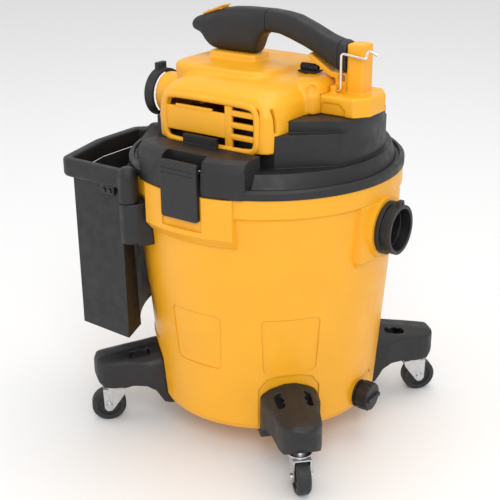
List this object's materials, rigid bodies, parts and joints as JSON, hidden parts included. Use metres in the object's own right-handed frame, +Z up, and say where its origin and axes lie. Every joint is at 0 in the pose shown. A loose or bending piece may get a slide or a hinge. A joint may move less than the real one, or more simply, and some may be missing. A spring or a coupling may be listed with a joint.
{
  "type": "wet and dry shop vacuum",
  "caption": "Canister wet and dry vacuum with a latched motor head, curved carry handle, side hose inlet, caster feet and a clip-on accessory bin",
  "frame": {"origin": "On the tank's axis at floor level", "axes": "+Z up; +X towards the hose inlet, -X towards the blower port and the accessory bin; +Y and -Y towards the two latches"},
  "size_m": [0.4495, 0.396, 0.5975],
  "materials": {
    "yellow_shell": "moulded polypropylene, light satin",
    "black_moulding": "fine texture",
    "zinc_plate": "bright zinc plate",
    "wheel_tread": "moulded nylon and soft tread",
    "screw_steel": "zinc plated",
    "bin_sheet": "thin semi-rigid sheet",
    "rivet_black": "blackened",
    "gasket_foam": "closed cell foam",
    "latch_black": "satin",
    "wire_steel": "bright plated wire",
    "grip_black": "soft touch",
    "yellow_trim": "satin",
    "switch_black": "satin",
    "gland_rubber": "matte",
    "lamination_steel": "bare laminations",
    "cast_bracket": "as cast",
    "bearing_steel": "ground",
    "fan_shell": "plain",
    "cage_black": "satin",
    "float_white": "satin",
    "filter_paper": "pleated paper"
  },
  "bodies": {
    "tank_body": {"tank": "yellow_shell", "inlet_collar": "black_moulding", "inlet_nut": "black_moulding", "inlet_elbow": "black_moulding", "drain_spout": "black_moulding", "foot_screws": "screw_steel", "bin_bracket_near": "black_moulding", "bin_bracket_far": "black_moulding", "bracket_screws": "screw_steel", "foot_front_right": "black_moulding", "foot_front_left": "black_moulding", "foot_rear_left": "black_moulding", "foot_rear_right": "black_moulding"},
    "drain_cap": {"drain_cap": "black_moulding"},
    "bin": {"bin_frame": "black_moulding", "accessory_bin": "bin_sheet", "bin_rivets": "rivet_black"},
    "power_head": {"lid": "black_moulding", "lid_gasket": "gasket_foam", "latch_pins": "screw_steel", "motor_cover": "yellow_shell", "rear_cover": "yellow_shell", "handle": "grip_black", "switch_bezel": "yellow_trim", "cord_gland": "gland_rubber", "blower_collar": "black_moulding", "cover_screws": "screw_steel", "handle_screws": "screw_steel", "motor_stator": "lamination_steel", "motor_bracket": "cast_bracket", "motor_bearings": "bearing_steel", "fan_housing": "fan_shell", "filter_cage": "cage_black", "cage_screws": "screw_steel"},
    "latch_right": {"latch_right": "latch_black"},
    "latch_left": {"latch_left": "latch_black"},
    "wire_hook": {"wire_hook": "wire_steel"},
    "switch_rocker": {"switch_rocker": "switch_black"},
    "motor_rotor": {"motor_rotor": "lamination_steel"},
    "float_ball": {"float_ball": "float_white"},
    "filter": {"filter": "filter_paper"},
    "filter_retainer": {"filter_retainer": "cage_black"},
    "caster_front_right": {"caster_fork_front_right": "zinc_plate", "caster_axle_front_right": "zinc_plate"},
    "wheel_front_right": {"caster_wheel_front_right": "wheel_tread"},
    "caster_front_left": {"caster_fork_front_left": "zinc_plate", "caster_axle_front_left": "zinc_plate"},
    "wheel_front_left": {"caster_wheel_front_left": "wheel_tread"},
    "caster_rear_left": {"caster_fork_rear_left": "zinc_plate", "caster_axle_rear_left": "zinc_plate"},
    "wheel_rear_left": {"caster_wheel_rear_left": "wheel_tread"},
    "caster_rear_right": {"caster_fork_rear_right": "zinc_plate", "caster_axle_rear_right": "zinc_plate"},
    "wheel_rear_right": {"caster_wheel_rear_right": "wheel_tread"}
  },
  "joints": [
    {"name": "drain_cap_turn", "type": "hinge", "parent": "tank_body", "child": "drain_cap", "pos_m": [0.17, 0, 0.066], "axis": [1, 0, 0], "continuous": true},
    {"name": "swivel_front_right", "type": "hinge", "parent": "tank_body", "child": "caster_front_right", "pos_m": [0.16193, -0.16193, 0.06], "axis": [0, 0, 1], "continuous": true},
    {"name": "wheel_spin_front_right", "type": "hinge", "parent": "caster_front_right", "child": "wheel_front_right", "pos_m": [0.16971, -0.16971, 0.025], "axis": [0.7071, 0.7071, 0], "continuous": true},
    {"name": "swivel_front_left", "type": "hinge", "parent": "tank_body", "child": "caster_front_left", "pos_m": [0.16193, 0.16193, 0.06], "axis": [0, 0, 1], "continuous": true},
    {"name": "wheel_spin_front_left", "type": "hinge", "parent": "caster_front_left", "child": "wheel_front_left", "pos_m": [0.16971, 0.16971, 0.025], "axis": [-0.7071, 0.7071, 0], "continuous": true},
    {"name": "swivel_rear_left", "type": "hinge", "parent": "tank_body", "child": "caster_rear_left", "pos_m": [-0.16193, 0.16193, 0.06], "axis": [0, 0, 1], "continuous": true},
    {"name": "wheel_spin_rear_left", "type": "hinge", "parent": "caster_rear_left", "child": "wheel_rear_left", "pos_m": [-0.16971, 0.16971, 0.025], "axis": [-0.7071, -0.7071, 0], "continuous": true},
    {"name": "swivel_rear_right", "type": "hinge", "parent": "tank_body", "child": "caster_rear_right", "pos_m": [-0.16193, -0.16193, 0.06], "axis": [0, 0, 1], "continuous": true},
    {"name": "wheel_spin_rear_right", "type": "hinge", "parent": "caster_rear_right", "child": "wheel_rear_right", "pos_m": [-0.16971, -0.16971, 0.025], "axis": [0.7071, -0.7071, 0], "continuous": true},
    {"name": "bin_lift", "type": "slide", "parent": "tank_body", "child": "bin", "axis": [0, 0, 1], "range_m": [0, 0.06]},
    {"name": "head_lift", "type": "slide", "parent": "tank_body", "child": "power_head", "axis": [0, 0, 1], "range_m": [0, 0.15]},
    {"name": "latch_right_swing", "type": "hinge", "parent": "power_head", "child": "latch_right", "pos_m": [0, -0.187, 0.424], "axis": [-1, 0, 0], "range_deg": [0, 50]},
    {"name": "latch_left_swing", "type": "hinge", "parent": "power_head", "child": "latch_left", "pos_m": [0, 0.187, 0.424], "axis": [1, 0, 0], "range_deg": [0, 50]},
    {"name": "wire_hook_swing", "type": "hinge", "parent": "power_head", "child": "wire_hook", "pos_m": [0.118, -0.019, 0.506], "axis": [1, 0, 0], "range_deg": [0, 80]},
    {"name": "power_switch", "type": "hinge", "parent": "power_head", "child": "switch_rocker", "pos_m": [-0.08089, 0, 0.58522], "axis": [0, 1, 0], "range_deg": [-12, 0]},
    {"name": "motor_spin", "type": "hinge", "parent": "power_head", "child": "motor_rotor", "pos_m": [0, 0, 0.48], "axis": [0, 0, 1], "continuous": true},
    {"name": "float_rise", "type": "slide", "parent": "power_head", "child": "float_ball", "axis": [0, 0, 1], "range_m": [0, 0.065]},
    {"name": "filter_pull", "type": "slide", "parent": "power_head", "child": "filter", "axis": [0, 0, -1], "range_m": [0, 0.11]},
    {"name": "filter_retainer_turn", "type": "hinge", "parent": "filter", "child": "filter_retainer", "pos_m": [0, 0, 0.27], "axis": [0, 0, 1], "continuous": true}
  ]
}
